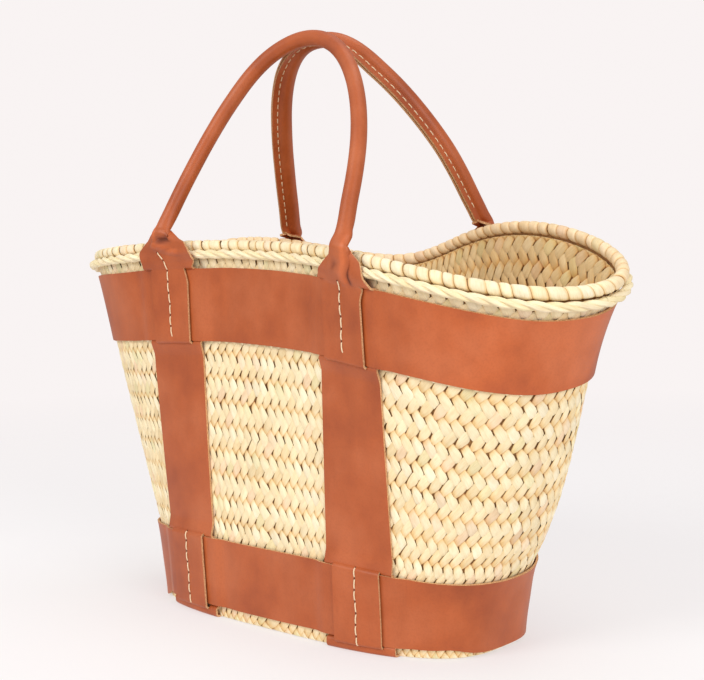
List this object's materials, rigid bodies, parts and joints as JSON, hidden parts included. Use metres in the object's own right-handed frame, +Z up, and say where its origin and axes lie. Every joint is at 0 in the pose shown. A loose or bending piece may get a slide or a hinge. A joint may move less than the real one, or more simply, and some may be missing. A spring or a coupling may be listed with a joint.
{
  "type": "market basket with two handles",
  "caption": "Open flared oval basket of plaited palm leaf with leather bands, straps threaded under the base and rolled leather handles that fold outward.",
  "frame": {"origin": "on the surface the basket stands on, below the middle of the whole object's bounding box", "axes": "+Z up, X along the basket's long way, -Y is the side nearest the camera of the picture"},
  "size_m": [0.5456, 0.2046, 0.4863],
  "materials": {
    "palm_leaf": "dry plaited palm leaf, matt with a faint sheen",
    "rim_palm_leaf": "dry palm leaf wrapped round the rim, satin",
    "tan_leather": "vegetable-tanned, satin, fine grain, raw pale edges",
    "cotton_rope": "undyed twisted cotton"
  },
  "bodies": {
    "basket": {"woven_body": "palm_leaf", "rim_roll": "rim_palm_leaf", "under_roll": "rim_palm_leaf", "upper_band": "tan_leather", "lower_band": "tan_leather", "left_strap": "tan_leather", "right_strap": "tan_leather"},
    "front_handle": {"front_handle": "tan_leather", "front_handle_core": "cotton_rope"},
    "back_handle": {"back_handle": "tan_leather", "back_handle_core": "cotton_rope"}
  },
  "joints": [
    {"name": "front_handle_fold", "type": "hinge", "parent": "basket", "child": "front_handle", "pos_m": [-0.00716, -0.09314, 0.31369], "axis": [0.9981, -0.0513, -0.0344], "range_deg": [0, 150]},
    {"name": "back_handle_fold", "type": "hinge", "parent": "basket", "child": "back_handle", "pos_m": [-0.00706, 0.08674, 0.32119], "axis": [-0.9934, -0.1065, -0.0428], "range_deg": [0, 150]}
  ]
}
